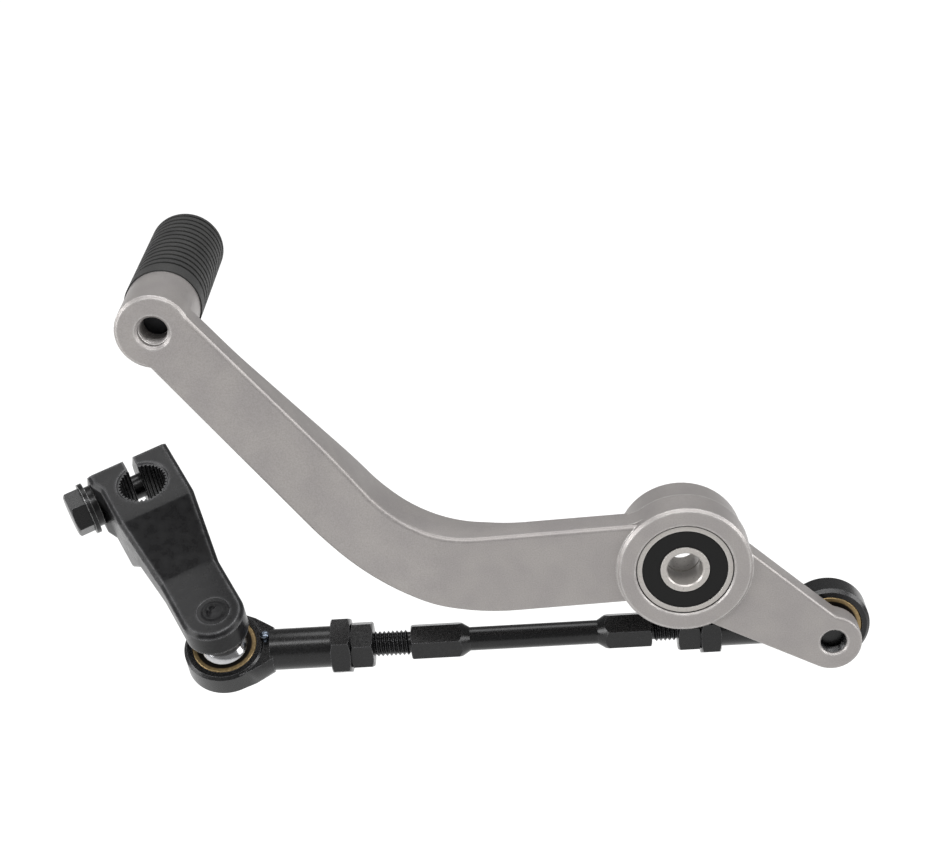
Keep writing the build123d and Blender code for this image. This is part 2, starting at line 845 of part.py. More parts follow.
def build():
    rear = link_place(rear_ball_centre, link_direction, (0, -1, 0))
    front = link_place(front_ball_centre, link_direction * -1, tilted(front_twist))
    rear_hexes = link_place(rear_ball_centre, link_direction, tilted(hex_lean))
    front_hexes = link_place(front_ball_centre, link_direction * -1, tilted(hex_lean))
    at_face = Pos(rod_end_length, 0, 0)
    arm = arm_place()
    clamp = arm * Location(clamp_bolt_place())
    front_bearing = Pos(0, -bearing_width, 0)
    rear_ball_place = Location(Plane(rear_ball_centre, x_dir=(1, 0, 0), z_dir=(0, -1, 0)))
    head_face = tail_seat + joint_ball_width
    tail_bolt = Location(Plane((tail_x, head_face, tail_z), x_dir=(1, 0, 0), z_dir=(0, 1, 0)))
    grip = joint_ball_width + tail_seat_height + tail_thickness
    stack = spring_washer_thickness + washer_thickness
    past_spring = Pos(0, 0, spring_washer_thickness)
    return {
        "lever_casting": lever_casting(),
        "peg_pin": peg_pin(),
        "toe_rubber": toe_rubber(),
        "front_outer_ring": front_bearing * outer_ring(),
        "rear_outer_ring": outer_ring(),
        "front_inner_ring": front_bearing * inner_ring(),
        "rear_inner_ring": inner_ring(),
        "front_bearing_seals": front_bearing * seals(),
        "rear_bearing_seals": seals(),
        "front_bearing_balls": front_bearing * bearing_balls(),
        "rear_bearing_balls": bearing_balls(),
        "front_bearing_cage": front_bearing * bearing_cage(),
        "rear_bearing_cage": bearing_cage(),
        "tail_bolt": tail_bolt * spindle_bolt(grip, bolt_end_depth),
        "rear_ball": rear_ball_place * joint_ball(),
        "rear_race": rear * joint_race(),
        "rear_rod_end": rear * rod_end(),
        "rear_grease_plug": rear * grease_plug(),
        "rear_lock_nut": rear_hexes * at_face * lock_nut(),
        "link_rod": rear_hexes * at_face * link_rod(),
        "front_lock_nut": front_hexes * at_face * lock_nut(),
        "front_rod_end": front * rod_end(),
        "front_grease_plug": front * grease_plug(),
        "front_race": front * joint_race(),
        "front_ball": arm * joint_ball(),
        "arm_ball_bolt": arm * arm_ball_bolt(),
        "shift_arm": arm * shift_arm(),
        "clamp_spring_washer": clamp * spring_washer(),
        "clamp_washer": clamp * past_spring * flat_washer(washer_outside, washer_thickness),
        "clamp_bolt": clamp * Pos(0, 0, stack) * spindle_bolt(clamp_bolt_length + stack, 0),
    }


os.makedirs("parts", exist_ok=True)
for name, piece in build().items():
    export_step(piece, f"parts/{name}.step")
print("front ball centre", front_ball_centre, "link length", round(link_length, 2))
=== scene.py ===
import bpy
import json
import math
from mathutils import Matrix, Vector, noise


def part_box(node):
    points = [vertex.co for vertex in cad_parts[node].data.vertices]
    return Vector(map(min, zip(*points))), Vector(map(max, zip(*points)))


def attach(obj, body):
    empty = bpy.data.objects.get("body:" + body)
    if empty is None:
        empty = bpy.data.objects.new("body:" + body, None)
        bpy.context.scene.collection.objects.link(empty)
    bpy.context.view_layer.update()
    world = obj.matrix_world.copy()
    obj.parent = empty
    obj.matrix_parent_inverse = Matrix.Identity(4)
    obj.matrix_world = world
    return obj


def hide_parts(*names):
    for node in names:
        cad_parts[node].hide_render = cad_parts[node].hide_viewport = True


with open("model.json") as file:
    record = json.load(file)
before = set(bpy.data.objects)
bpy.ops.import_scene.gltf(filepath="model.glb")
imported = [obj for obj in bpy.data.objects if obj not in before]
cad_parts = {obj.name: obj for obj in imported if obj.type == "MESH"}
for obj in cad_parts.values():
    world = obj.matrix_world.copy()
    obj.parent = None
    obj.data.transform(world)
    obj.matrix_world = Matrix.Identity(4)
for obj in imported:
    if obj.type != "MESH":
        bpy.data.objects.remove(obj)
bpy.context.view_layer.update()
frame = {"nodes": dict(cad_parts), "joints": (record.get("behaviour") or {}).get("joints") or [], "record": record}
mm = 0.001
weldMm = 0.001  # corners nearer than this are one
bevelSamples = 4
noiseLow, noiseHigh = 0.3, 0.7  # most of a noise's values lie between these
patchLow, patchHigh = 0.35, 0.65  # a narrower range, for patches with a plainer edge
fineDetail = 3

joints = {joint["name"]: joint for joint in frame["joints"]}
mounts = {mount["name"]: mount for mount in frame["record"]["mounts"]}
rearBall = Vector(joints["rear_ball_swing"]["pos_m"])
linkAxis = Vector(joints["link_length"]["axis"]).normalized()  # from the rear ball to the front one
frontBall = Vector(joints["front_ball_swing"]["pos_m"])
armAxis = Vector(joints["front_ball_swing"]["axis"]).normalized()  # out of the shift arm's front face
clampCentre = Vector(mounts["shift_shaft_clamp"]["pos_m"])
armUp = clampCentre - frontBall
armUp = (armUp - armAxis * armUp.dot(armAxis)).normalized()  # along the arm, from its ball to its clamp
xAxis, yAxis = Vector((1, 0, 0)), Vector((0, 1, 0))
print("frame loaded")


def toLinear(hexColour):
    # An sRGB hex colour as linear RGBA.
    channels = [int(hexColour[i:i + 2], 16) / 255 for i in (1, 3, 5)]
    return [c / 12.92 if c <= 0.04045 else ((c + 0.055) / 1.055) ** 2.4 for c in channels] + [1.0]


def addNode(tree, kind, inputs=None, links=None, **settings):
    node = tree.nodes.new(kind)
    for name, value in settings.items():
        setattr(node, name, value)
    for name, value in (inputs or {}).items():
        node.inputs[name].default_value = value
    for name, socket in (links or {}).items():
        tree.links.new(socket, node.inputs[name])
    return node


def newMaterial(name):
    material = bpy.data.materials.new(name)
    material.use_nodes = True
    tree = material.node_tree
    tree.nodes.clear()
    output = addNode(tree, "ShaderNodeOutputMaterial")
    shader = addNode(tree, "ShaderNodeBsdfPrincipled")
    tree.links.new(shader.outputs["BSDF"], output.inputs["Surface"])
    place = addNode(tree, "ShaderNodeTexCoord").outputs["Object"]
    return material, tree, shader, place


def addRamp(tree, factor, first, second, low, high):
    # From one colour to the other as the factor goes from low to high.
    ramp = addNode(tree, "ShaderNodeValToRGB", links={"Fac": factor})
    for element, position, colour in zip(ramp.color_ramp.elements, (low, high), (first, second)):
        element.position = position
        element.color = toLinear(colour)
    return ramp.outputs["Color"]


def grain(tree, place, sizeMm, detail=2.0):
    # Noise whose lumps are about this many millimetres across.
    return addNode(
        tree, "ShaderNodeTexNoise", {"Scale": 1 / (sizeMm * mm), "Detail": detail}, {"Vector": place}
    ).outputs["Fac"]


def blend(tree, factor, first, second, kind="MIX"):
    mix = addNode(tree, "ShaderNodeMix", data_type="RGBA", blend_type=kind)
    for socket, value in ((mix.inputs[0], factor), (mix.inputs[6], first), (mix.inputs[7], second)):
        if isinstance(value, bpy.types.NodeSocket):
            tree.links.new(value, socket)
        else:
            socket.default_value = value
    return mix.outputs[2]


def roundedNormal(tree, radiusMm):
    return addNode(
        tree, "ShaderNodeBevel", {"Radius": radiusMm * mm}, samples=bevelSamples
    ).outputs["Normal"]


def bumpFrom(tree, shader, layers, roundedMm):
    # Sharp edges shade as if rounded by this radius; layers of (height socket, depth in mm) lie on that.
    normal = roundedNormal(tree, roundedMm)
    for height, depthMm in layers:
        normal = addNode(
            tree, "ShaderNodeBump", {"Strength": 1.0, "Distance": depthMm * mm},
            {"Height": height, "Normal": normal},
        ).outputs["Normal"]
    tree.links.new(normal, shader.inputs["Normal"])


def rangeOf(tree, factor, low, high, fromLow=noiseLow, fromHigh=noiseHigh):
    # The factor, taken from one range to another and held inside it.
    return addNode(
        tree, "ShaderNodeMapRange",
        {"From Min": fromLow, "From Max": fromHigh, "To Min": low, "To Max": high},
        {"Value": factor},
    ).outputs["Result"]


# How nearly the rounded and the plain normal agree: full rubbed edge and painted highlight below the first, none
# above the second.
fullWearHighlight, noWearHighlight = 0.8, 0.993


def edgeWearAndHighlight(tree, radiusMm, wear):
    # 1 on sharp edges and 0 on flats, times a noise: edges rubbed bright by handling, with a painted highlight
    # along them.
    plain = addNode(tree, "ShaderNodeNewGeometry").outputs["Normal"]
    along = addNode(
        tree, "ShaderNodeVectorMath", links={0: roundedNormal(tree, radiusMm), 1: plain},
        operation="DOT_PRODUCT",
    ).outputs["Value"]
    edge = rangeOf(tree, along, 1.0, 0.0, fullWearHighlight, noWearHighlight)
    return addNode(tree, "ShaderNodeMath", links={0: edge, 1: wear}, operation="MULTIPLY").outputs[0]


# The worn colour lightens the edges: rubbed metal with a painted highlight.
castSettings = {
    "dark": "#959190", "light": "#9B9795", "speckDark": "#E9E8E7", "speckLight": "#FFFFFF",
    "worn": "#E2E0DE", "leastWear": 0.35, "metallic": 0.5, "roughLow": 0.36, "roughHigh": 0.5,
    "wornRough": 0.28, "gritMm": 0.3, "gritDepthMm": 0.022, "skinMm": 1.6, "skinDepthMm": 0.012,
    "patchMm": 7, "wearMm": 0.7, "roundedMm": 0.3,
}


def castAluminium(s):
    # Sand-blasted cast aluminium: an even warm grey with a fine grit, and edges rubbed bright, with a painted
    # highlight on them.
    material, tree, shader, place = newMaterial("sandblastedCastAluminium")
    grit = grain(tree, place, s["gritMm"], fineDetail)
    skin = grain(tree, place, s["skinMm"])
    patch = grain(tree, place, s["patchMm"])
    colour = addRamp(tree, patch, s["dark"], s["light"], patchLow, patchHigh)
    speck = addRamp(tree, grit, s["speckDark"], s["speckLight"], noiseLow, noiseHigh)
    colour = blend(tree, 1.0, colour, speck, "MULTIPLY")
    worn = edgeWearAndHighlight(tree, s["wearMm"], rangeOf(tree, skin, s["leastWear"], 1.0))
    # The edges take the worn colour: rubbed metal, with a painted highlight laid over it.
    tree.links.new(blend(tree, worn, colour, toLinear(s["worn"])), shader.inputs["Base Color"])
    shader.inputs["Metallic"].default_value = s["metallic"]
    rough = rangeOf(tree, grit, s["roughLow"], s["roughHigh"])
    rough = addNode(
        tree, "ShaderNodeMapRange", {"To Max": s["wornRough"]}, {"Value": worn, "To Min": rough}
    ).outputs["Result"]
    tree.links.new(rough, shader.inputs["Roughness"])
    bumpFrom(tree, shader, [(skin, s["skinDepthMm"]), (grit, s["gritDepthMm"])], s["roundedMm"])
    return material


rubberSettings = {
    "colour": "#1E1E1E", "bloom": "#2A2A29", "roughLow": 0.52, "roughHigh": 0.7, "gritMm": 0.5,
    "gritDepthMm": 0.01, "cloudMm": 6, "roundedMm": 0.2,
}


def toeRubber(s):
    # Moulded black rubber: dull, with a slight grey bloom and a soft sheen on the ribs.
    material, tree, shader, place = newMaterial("mouldedBlackRubber")
    grit = grain(tree, place, s["gritMm"])
    cloud = grain(tree, place, s["cloudMm"])
    colour = addRamp(tree, cloud, s["colour"], s["bloom"], patchLow, noiseHigh)
    tree.links.new(colour, shader.inputs["Base Color"])
    tree.links.new(rangeOf(tree, grit, s["roughLow"], s["roughHigh"]), shader.inputs["Roughness"])
    bumpFrom(tree, shader, [(grit, s["gritDepthMm"])], s["roundedMm"])
    return material


# Each finish's worn colour lightens its edges: rubbed metal with a painted highlight.
metalSettings = {
    "bearingSteel": {
        "name": "groundBearingSteel", "dark": "#A09C98", "light": "#ACA8A4", "worn": "#E6E4E1",
        "metallic": 0.5, "rough": 0.32, "grainMm": 0.5, "depthMm": 0.001, "wearMm": 0.25,
        "wear": 0.8,
    },
    "chromeBall": {
        "name": "polishedChromePlate", "dark": "#B0B0B2", "light": "#BEBEC0", "worn": "#DADADA",
        "metallic": 1.0, "rough": 0.14, "grainMm": 1.0, "depthMm": 0.0005, "wearMm": 0.1,
        "wear": 0.1,
    },
    # The bronze's dark colour close to each ball is painted shade.
    "bronzeRace": {
        "name": "turnedBronze", "dark": "#84704F", "light": "#9C8660", "worn": "#C8B78E",
        "metallic": 0.75, "rough": 0.36, "grainMm": 0.5, "depthMm": 0.006, "wearMm": 0.15,
        "wear": 0.4, "oil": "#1C1814", "oilMm": 7.35, "oilEdgeMm": 0.15,
    },
    "blackOxide": {
        "name": "oiledBlackOxideSteel", "dark": "#101011", "light": "#1B1B1C", "worn": "#77777A",
        "metallic": 0.3, "rough": 0.27, "grainMm": 0.5, "depthMm": 0.001, "wearMm": 0.25,
        "wear": 0.7,
    },
    "washerSteel": {
        "name": "rubbedBlackWasherSteel", "dark": "#161617", "light": "#232324", "worn": "#D2D2D2",
        "metallic": 0.5, "rough": 0.3, "grainMm": 0.6, "depthMm": 0.004, "wearMm": 0.3, "wear": 1.0,
    },
    # Darker than zinc plate: painted shade for the pin's end deep in the peg's hole.
    "zincSteel": {
        "name": "greasyZincPlatedSteel", "dark": "#3A3A3C", "light": "#4C4C4E", "worn": "#77777A",
        "metallic": 0.8, "rough": 0.5, "grainMm": 0.8, "depthMm": 0.002, "wearMm": 0.3, "wear": 0.4,
    },
    "sealRubber": {
        "name": "mouldedSealRubber", "dark": "#0B0B0B", "light": "#121212", "worn": "#202020",
        "metallic": 0.0, "rough": 0.5, "grainMm": 0.4, "depthMm": 0.004, "wearMm": 0.2, "wear": 0.5,
        "gloss": 0.2,
    },
    "greaseBall": {
        "name": "bluedBallSteel", "dark": "#5E6672", "light": "#79828E", "worn": "#AAB2BC",
        "metallic": 1.0, "rough": 0.28, "grainMm": 0.3, "depthMm": 0.001, "wearMm": 0.1,
        "wear": 0.4,
    },
}
edgeRoundingMm = 0.15  # on every machined piece
plainGloss = 0.5
leastWear = 0.5  # the share of a finish's edge wear and painted highlight that stays where its noise is lowest
roughFrom, roughTo = 0.85, 1.2  # how far a machined finish's roughness varies, as shares of it


def fineMetal(s):
    # A machined or plated finish: nearly one colour, a faint grain in its gloss, and edges lightened by wear and a
    # painted highlight.
    material, tree, shader, place = newMaterial(s["name"])
    fine = grain(tree, place, s["grainMm"])
    colour = addRamp(tree, fine, s["dark"], s["light"], noiseLow, noiseHigh)
    if "oil" in s:
        # Painted shade: the bronze is darkened within a set distance of either ball, where it lies in shadow.
        near = [
            addNode(
                tree, "ShaderNodeVectorMath", {1: centre}, {0: place}, operation="DISTANCE"
            ).outputs["Value"]
            for centre in (rearBall, frontBall)
        ]
        nearest = addNode(
            tree, "ShaderNodeMath", links={0: near[0], 1: near[1]}, operation="MINIMUM"
        ).outputs[0]
        shadedWithin, unshadedBeyond = (s["oilMm"] - s["oilEdgeMm"]) * mm, (s["oilMm"] + s["oilEdgeMm"]) * mm
        unshaded = rangeOf(tree, nearest, 0.0, 1.0, shadedWithin, unshadedBeyond)
        colour = blend(tree, unshaded, toLinear(s["oil"]), colour)
    worn = edgeWearAndHighlight(tree, s["wearMm"], rangeOf(tree, fine, s["wear"] * leastWear, s["wear"]))
    # The edges take the worn colour: rubbed metal, with a painted highlight laid over it.
    tree.links.new(blend(tree, worn, colour, toLinear(s["worn"])), shader.inputs["Base Color"])
    shader.inputs["Metallic"].default_value = s["metallic"]
    rough = rangeOf(tree, fine, s["rough"] * roughFrom, s["rough"] * roughTo)
    tree.links.new(rough, shader.inputs["Roughness"])
    shader.inputs["Specular IOR Level"].default_value = s.get("gloss", plainGloss)
    bumpFrom(tree, shader, [(fine, s["depthMm"])], edgeRoundingMm)
    return material


# The worn colour lightens the arm's edges: rubbed paint with a painted highlight.
forgingSettings = {
    "name": "blackPaintedForging", "dark": "#131314", "light": "#1B1B1C", "worn": "#808082",
    "gloss": 0.17, "edgeGloss": 1.0, "roughLow": 0.25, "roughHigh": 0.33, "scaleMm": 2.4,
    "scaleDepthMm": 0.03, "pitMm": 0.5, "pitDepthMm": 0.02, "wearMm": 1.1, "wear": 1.0, "roundedMm": 0.8,
}


def forgedBlack(s):
    # Black paint over a drop forging: dull faces, glossy rubbed edges lightened by wear and a painted highlight,
    # and the forging's scale and pits.
    material, tree, shader, place = newMaterial(s["name"])
    scale = grain(tree, place, s["scaleMm"], fineDetail)
    pits = grain(tree, place, s["pitMm"])
    colour = addRamp(tree, scale, s["dark"], s["light"], patchLow, patchHigh)
    worn = edgeWearAndHighlight(tree, s["wearMm"], rangeOf(tree, scale, s["wear"] * leastWear, s["wear"]))
    # The edges take the worn colour: rubbed paint, with a painted highlight laid over it.
    tree.links.new(blend(tree, worn, colour, toLinear(s["worn"])), shader.inputs["Base Color"])
    gloss = rangeOf(tree, worn, s["gloss"], s["edgeGloss"])
    tree.links.new(gloss, shader.inputs["Specular IOR Level"])
    tree.links.new(rangeOf(tree, scale, s["roughLow"], s["roughHigh"]), shader.inputs["Roughness"])
    bumpFrom(tree, shader, [(scale, s["scaleDepthMm"]), (pits, s["pitDepthMm"])], s["roundedMm"])
    return material


castMetal = castAluminium(castSettings)
rubber = toeRubber(rubberSettings)
forging = forgedBlack(forgingSettings)
stakingSettings = {**forgingSettings, "name": "blackPaintedStaking", "roundedMm": 0.05, "wearMm": 0.1}
stakedPaint = forgedBlack(stakingSettings)
metals = {name: fineMetal(settings) for name, settings in metalSettings.items()}
print("materials ready")


def deselectAll():
    bpy.ops.object.select_all(action="DESELECT")


def useOnly(piece):
    deselectAll()
    piece.select_set(True)
    bpy.context.view_layer.objects.active = piece


def editAll():
    # Into edit mode with the whole of the active piece selected.
    bpy.ops.object.mode_set(mode="EDIT")
    bpy.ops.mesh.select_all(action="SELECT")


def closeEdit():
    # Out of edit mode, with every face turned outwards.
    bpy.ops.mesh.select_all(action="SELECT")
    bpy.ops.mesh.normals_make_consistent(inside=False)
    bpy.ops.object.mode_set(mode="OBJECT")


def camelName(node):
    first, *rest = node.split("_")
    return first + "".join(word.capitalize() for word in rest)


bodyOf = {
    node: body
    for body, members in frame["record"]["behaviour"]["bodies"].items()
    for node in members
}
nodeSmoothAngle = 32
forgingSmoothAngle = 9  # keeps the low bends across the forged arm crisp


def dressNode(node, material, smoothAngle):
    # A merged copy of the node that shades smoothly over its curved faces.
    source = frame["nodes"][node]
    piece = source.copy()
    piece.data = source.data.copy()
    piece.name = camelName(node)
    piece.parent = None
    for key in list(piece.keys()):
        del piece[key]
    bpy.context.scene.collection.objects.link(piece)
    useOnly(piece)
    editAll()
    bpy.ops.mesh.customdata_custom_splitnormals_clear()
    bpy.ops.mesh.remove_doubles(threshold=weldMm * mm)
    bpy.ops.object.mode_set(mode="OBJECT")
    bpy.ops.object.shade_smooth_by_angle(angle=math.radians(smoothAngle))
    piece.data.materials.clear()
    piece.data.materials.append(material)
    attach(piece, bodyOf[node])
    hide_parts(node)


finishes = {
    "lever_casting": castMetal,
    "toe_rubber": rubber,
    "peg_pin": metals["zincSteel"],
    "shift_arm": forging,
    "front_ball": metals["chromeBall"],
    "rear_ball": metals["chromeBall"],
    "front_race": metals["bronzeRace"],
    "rear_race": metals["bronzeRace"],
    "front_bearing_seals": metals["sealRubber"],
    "rear_bearing_seals": metals["sealRubber"],
    "front_grease_plug": metals["greaseBall"],
    "rear_grease_plug": metals["greaseBall"],
    "clamp_washer": metals["washerSteel"],
    "clamp_spring_washer": metals["washerSteel"],
    "arm_ball_bolt": forging,
}
for node in frame["nodes"]:
    usual = "bearingSteel" if "ring" in node else "blackOxide"  # the rings, and all of the bearing nodes
    angle = forgingSmoothAngle if node == "shift_arm" else nodeSmoothAngle
    dressNode(node, finishes.get(node, metals[usual]), angle)


# From the clamp's centre. Corners behind and below the first two rise from one depth to the other,
# and keep a share of their own height over the foot.
clampFoot = {"behindMm": 8.5, "belowMm": 8.0, "fromMm": 10.5, "toMm": 7.6, "heightShare": 0.3}


def draftClampFoot(s):
    # The forging's clamp narrows towards its rear face, by the draft that lets it out of its die.
    piece = bpy.data.objects["shiftArm"]
    for vertex in piece.data.vertices:
        fromCentre = vertex.co - clampCentre
        height, depth = fromCentre.dot(armUp) / mm, fromCentre.dot(armAxis) / mm
        if depth < -s["behindMm"] and height < -s["belowMm"]:
            raised = -s["toMm"] + (height + s["fromMm"]) * s["heightShare"]
            vertex.co += armUp * (raised - height) * mm


draftClampFoot(clampFoot)
print("nodes dressed")


def placeOnAxis(piece, start, along, sideways):
    # The piece was made along Z from the origin: it is laid along an axis, with its X sideways.
    sideways = (sideways - along * sideways.dot(along)).normalized()
    turned = Matrix((sideways, along.cross(sideways), along)).transposed()
    piece.matrix_world = Matrix.Translation(start) @ turned.to_4x4()
    useOnly(piece)
    bpy.ops.object.transform_apply(location=True, rotation=True, scale=True)


def finishPiece(piece, name, node, material, smoothAngle):
    # The new piece rides with the node that it belongs to.
    useOnly(piece)
    piece.name = name
    piece.data.name = name
    bpy.ops.object.shade_smooth_by_angle(angle=math.radians(smoothAngle))
    piece.data.materials.clear()
    piece.data.materials.append(material)
    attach(piece, bodyOf[node])


def addRing(corners, radius, height=0.0, fill="NOTHING"):
    # A loop of corners round Z, which the caller shapes.
    deselectAll()
    bpy.ops.mesh.primitive_circle_add(
        vertices=corners, radius=radius, fill_type=fill, location=(0, 0, height)
    )
    bpy.ops.object.transform_apply(location=True, rotation=True, scale=True)
    return bpy.context.object


# A positive depth stands out from a core, and a negative one grows into a hole from its wall.
rodThread = {"pitchMm": 1.0, "rootMm": 2.46, "depthMm": 0.52, "lengthMm": 15.0, "steps": 32}
pegThread = {
    "pitchMm": 0.9, "rootMm": 3.4, "depthMm": -0.35, "lengthMm": 6.3, "steps": 32,
    "fromFaceMm": 1.1, "mouthMm": 4.6,
}
tailThread = {
    "pitchMm": 0.8, "rootMm": 3.0, "depthMm": -0.3, "lengthMm": 2.4, "steps": 32,
    "fromFaceMm": 0.6, "mouthMm": 4.2,
}
threadSection = {"halfWidthPitches": 0.46, "footDepths": 1 / 3, "smoothAngle": 35}
rearHexStart = 40.8  # mm from the rear ball, where the rod's rear hexagon begins
frontHexEnd = 96.7  # mm from the rear ball, where its front hexagon ends


def makeThread(s, name, start, along, sideways, node, material):
    # A four-sided section is wound round Z by a screw modifier and laid on its core or in its hole.
    pitch, root, depth = s["pitchMm"] * mm, s["rootMm"] * mm, s["depthMm"] * mm
    deselectAll()
    bpy.ops.mesh.primitive_circle_add(
        vertices=4, radius=pitch * threadSection["halfWidthPitches"], fill_type="NOTHING",
        location=(root, 0, pitch / 2), rotation=(math.pi / 2, 0, 0),
    )
    piece = bpy.context.object
    bpy.ops.object.transform_apply(location=True, rotation=True, scale=True)
    crest = max(piece.data.vertices, key=lambda vertex: vertex.co.x * depth)
    foot = min(piece.data.vertices, key=lambda vertex: vertex.co.x * depth)
    crest.co.x = root + depth
    foot.co.x = root - depth * threadSection["footDepths"]
    screw = piece.modifiers.new("Screw", "SCREW")
    screw.axis = "Z"
    screw.screw_offset = pitch
    screw.iterations = round(s["lengthMm"] / s["pitchMm"])
    screw.steps = screw.render_steps = s["steps"]
    bpy.ops.object.modifier_apply(modifier=screw.name)
    editAll()
    bpy.ops.mesh.remove_doubles(threshold=weldMm * mm)
    bpy.ops.mesh.fill_holes(sides=4)
    closeEdit()
    placeOnAxis(piece, start, along, sideways)
    finishPiece(piece, name, node, material, threadSection["smoothAngle"])


# The rod's threads run on inside the nuts and rod ends, so the link can be drawn out.
for name, reach, along in (
    ("rodThreadFront", frontHexEnd, linkAxis),
    ("rodThreadRear", rearHexStart, -linkAxis),
):
    makeThread(
        rodThread, name, rearBall + linkAxis * reach * mm, along, yAxis, "link_rod", metals["blackOxide"]
    )


def holeMouth(centre, radiusMm):
    # The foremost point of the casting round an axis along Y, where a tapped hole opens.
    near = [
        vertex.co.y for vertex in frame["nodes"]["lever_casting"].data.vertices
        if math.hypot(vertex.co.x - centre.x, vertex.co.z - centre.z) < radiusMm * mm
    ]
    return Vector((centre.x, min(near), centre.z))


pegLow, pegHigh = (Vector(corner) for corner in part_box("toe_rubber"))
for name, s, centre, finish in (
    ("pegHoleThread", pegThread, (pegLow + pegHigh) / 2, castMetal),
    # The tail hole's cast thread takes the black oxide finish, as painted shade for the hole's dark inside.
    ("tailHoleThread", tailThread, rearBall, metals["blackOxide"]),
):
    start = holeMouth(centre, s["mouthMm"]) + yAxis * s["fromFaceMm"] * mm
    makeThread(s, name, start, yAxis, xAxis, "lever_casting", finish)
print("threads ready")


splineSettings = {
    "teeth": 36, "outerMm": 6.1, "rootMm": 5.95, "crestMm": 5.5, "lengthMm": 17.2, "slotMm": 2.9,
    "slotOffsetMm": -0.4, "smoothAngle": 20,
}


def makeSpline(s):
    # The clamp's serrated bore: a toothed ring, open at the slot, drawn out along the bore.
    count = s["teeth"] * 4
    piece = addRing(count, s["outerMm"] * mm, -s["lengthMm"] / 2 * mm)
    editAll()
    bpy.ops.mesh.extrude_region_move()
    bpy.ops.object.mode_set(mode="OBJECT")
    for vertex in piece.data.vertices[count:]:
        turn = math.atan2(vertex.co.y, vertex.co.x) / (2 * math.pi) * count
        radius = (s["rootMm"] if round(turn) % 4 < 2 else s["crestMm"]) * mm
        vertex.co.x, vertex.co.y = (value * radius / vertex.co.xy.length for value in vertex.co.xy)
    bpy.ops.object.mode_set(mode="EDIT")
    bpy.ops.mesh.select_mode(type="FACE")
    bpy.ops.mesh.select_all(action="DESELECT")
    bpy.ops.object.mode_set(mode="OBJECT")
    for face in piece.data.polygons:
        across = abs(face.center.x - s["slotOffsetMm"] * mm)
        face.select = face.center.y > 0 and across < s["slotMm"] / 2 * mm
    bpy.ops.object.mode_set(mode="EDIT")
    bpy.ops.mesh.delete(type="FACE")
    bpy.ops.mesh.select_all(action="SELECT")
    bpy.ops.mesh.extrude_region_move(TRANSFORM_OT_translate={"value": (0, 0, s["lengthMm"] * mm)})
    closeEdit()
    placeOnAxis(piece, clampCentre, armAxis, armUp.cross(armAxis))
    finishPiece(piece, "clampSpline", "shift_arm", metals["blackOxide"], s["smoothAngle"])


makeSpline(splineSettings)


def spinSection(corners, steps):
    # A closed section of (radius, height) corners in mm, turned round Z into a ring or disc.
    piece = addRing(len(corners), mm)
    for vertex, (radius, height) in zip(piece.data.vertices, corners):
        vertex.co = (radius * mm, 0, height * mm)
    editAll()
    bpy.ops.mesh.spin(steps=steps, angle=2 * math.pi, center=(0, 0, 0), axis=(0, 0, 1))
    bpy.ops.mesh.select_all(action="SELECT")
    bpy.ops.mesh.remove_doubles(threshold=2 * weldMm * mm)
    closeEdit()
    return piece


stakeSettings = {
    "radiusMm": 4.2, "rings": 24, "steps": 72, "lumpMm": 1.4, "lumpDepthMm": 0.05, "rimMm": 2.3,
    "rimWidthMm": 0.7, "rimDepthMm": 0.16, "gashMm": 1.2, "gashWidthMm": 0.6, "gashDepthMm": 0.6,
    "gashTurn": 130, "sunkMm": 0.01, "domeMm": 0.05, "thickMm": 0.6, "faceReach": 1.2, "smoothAngle": 50,
}


def makeStake(s):
    # The hammered end of the ball bolt: a lumpy crater with a curved punch mark, under the arm's paint.
    heights = [
        (vertex.co - frontBall).dot(armAxis) for vertex in frame["nodes"]["shift_arm"].data.vertices
        if (vertex.co - frontBall).cross(armAxis).length < s["faceReach"] * s["radiusMm"] * mm
    ]
    corners = [(s["radiusMm"] * (1 - i / s["rings"]), 0.0) for i in range(s["rings"] + 1)]
    corners += [(0.0, -s["thickMm"]), (s["radiusMm"], -s["thickMm"])]
    piece = spinSection(corners, s["steps"])
    for vertex in piece.data.vertices:
        if vertex.co.z < -s["thickMm"] / 2 * mm:
            continue
        reach = vertex.co.xy.length / mm
        lump = noise.noise(vertex.co / (s["lumpMm"] * mm)) * s["lumpDepthMm"]
        rim = max(0.0, 1 - abs(reach - s["rimMm"]) / s["rimWidthMm"]) * s["rimDepthMm"]
        fromGash = max(0.0, 1 - abs(reach - s["gashMm"]) / s["gashWidthMm"])
        turned = math.cos(math.atan2(vertex.co.y, vertex.co.x) - math.radians(s["gashTurn"]))
        gash = fromGash * math.sqrt(max(0.0, turned)) * s["gashDepthMm"]
        fade = 1 - (reach / s["radiusMm"]) ** 2
        vertex.co.z += (s["domeMm"] + lump + rim - gash) * fade * mm
    face = frontBall + armAxis * (max(heights) - s["sunkMm"] * mm)
    placeOnAxis(piece, face, armAxis, armUp.cross(armAxis))
    finishPiece(piece, "stakedBoltEnd", "shift_arm", stakedPaint, s["smoothAngle"])


makeStake(stakeSettings)


# A dark ring of painted shade in each bearing's seat groove.
grooveShadeSettings = {
    "radiusMm": 11.03, "widthMm": 0.48, "depthMm": 0.3, "sunkMm": 0.02, "hollowMm": 0.05, "steps": 96,
    "smoothAngle": 35,
}


